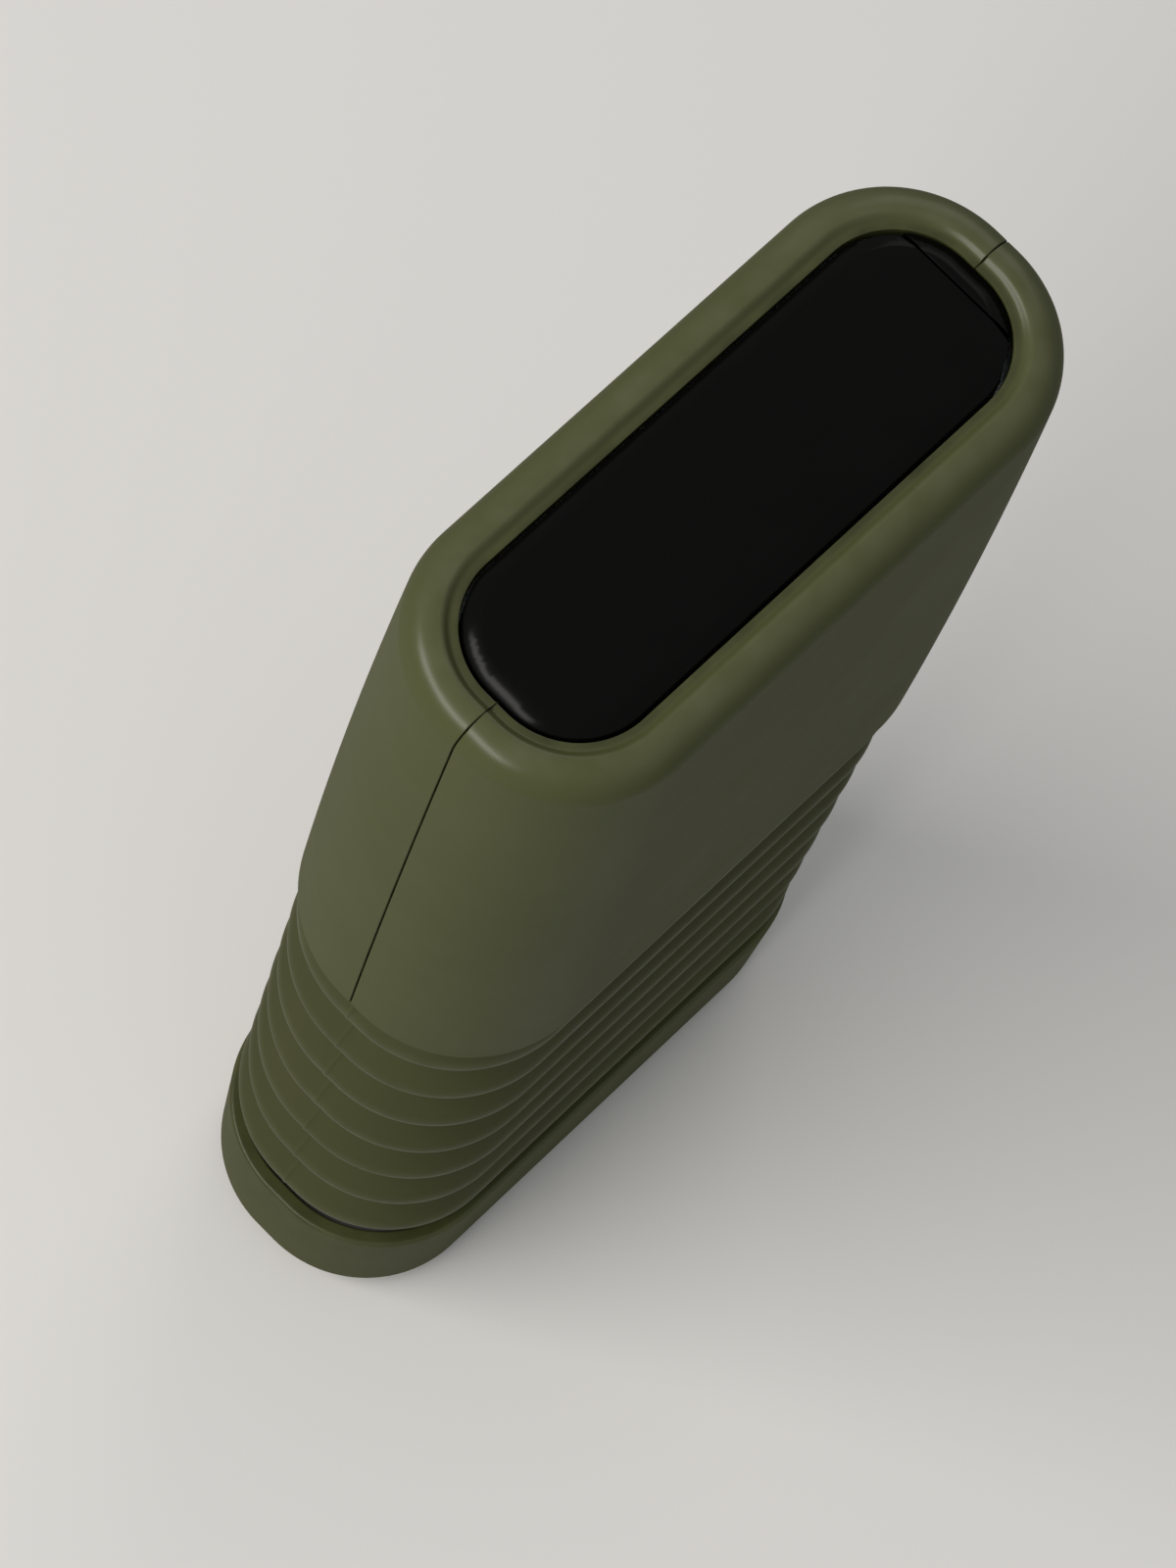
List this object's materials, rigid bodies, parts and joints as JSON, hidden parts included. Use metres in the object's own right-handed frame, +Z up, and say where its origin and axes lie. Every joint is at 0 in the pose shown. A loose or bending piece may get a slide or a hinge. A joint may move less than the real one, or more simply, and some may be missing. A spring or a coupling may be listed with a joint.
{
  "type": "folding water bottle",
  "caption": "Flat travel flask: a rigid green case over a folding silicone bellows, with a flush black flip cover over a fold-up drinking spout.",
  "frame": {"origin": "centre of the foot pad's contact face", "axes": "+X along the long side towards the cover's hinge, +Y towards the back, +Z up"},
  "size_m": [0.0872, 0.0376, 0.2],
  "materials": {
    "case_green": "satin moulded",
    "lid_black": "satin moulded",
    "silicone_green": "soft matte silicone",
    "silicone_pale": "soft translucent silicone",
    "liner_clear": "translucent food-grade plastic",
    "clamp_grey": "matt moulded",
    "rubber_black": "matt non-slip",
    "spout_grey": "satin moulded",
    "steel_pin": "ground",
    "magnet_nickel": "nickel plated"
  },
  "bodies": {
    "base": {"base_cup": "case_green", "foot_pad": "rubber_black", "bellows": "silicone_green", "bellows_bottom_clamp": "clamp_grey"},
    "case": {"front_shell": "case_green", "back_shell": "case_green", "reservoir_liner": "liner_clear", "bellows_top_clamp": "clamp_grey"},
    "lid": {"lid_deck": "lid_black", "lid_gasket": "silicone_pale", "spout_seal": "silicone_pale", "vent_valve": "silicone_pale", "deck_magnet": "magnet_nickel", "deck_magnet_cap": "lid_black", "cover_hinge_pin": "steel_pin"},
    "cover": {"flip_cover": "lid_black", "cover_seal": "silicone_pale", "cover_magnet": "magnet_nickel", "cover_magnet_cap": "lid_black"},
    "spout": {"spout_arm": "spout_grey", "spout_mouthpiece": "silicone_pale", "spout_pins": "steel_pin"}
  },
  "joints": [
    {"name": "collapse", "type": "slide", "parent": "base", "child": "case", "axis": [0, 0, -1], "range_m": [0, 0.066], "deforming": ["bellows"]},
    {"name": "lid_lift", "type": "slide", "parent": "case", "child": "lid", "axis": [0, 0, 1], "range_m": [0, 0.04]},
    {"name": "cover_hinge", "type": "hinge", "parent": "lid", "child": "cover", "pos_m": [0.0305, 0, 0.1984], "axis": [0, 1, 0], "range_deg": [0, 95]},
    {"name": "spout_pivot", "type": "hinge", "parent": "lid", "child": "spout", "pos_m": [0.02, 0, 0.1908], "axis": [0, 1, 0], "range_deg": [0, 90]}
  ],
  "couplings": [
    {"joint": "spout_pivot", "follows": "cover_hinge", "ratio": 0.947}
  ]
}
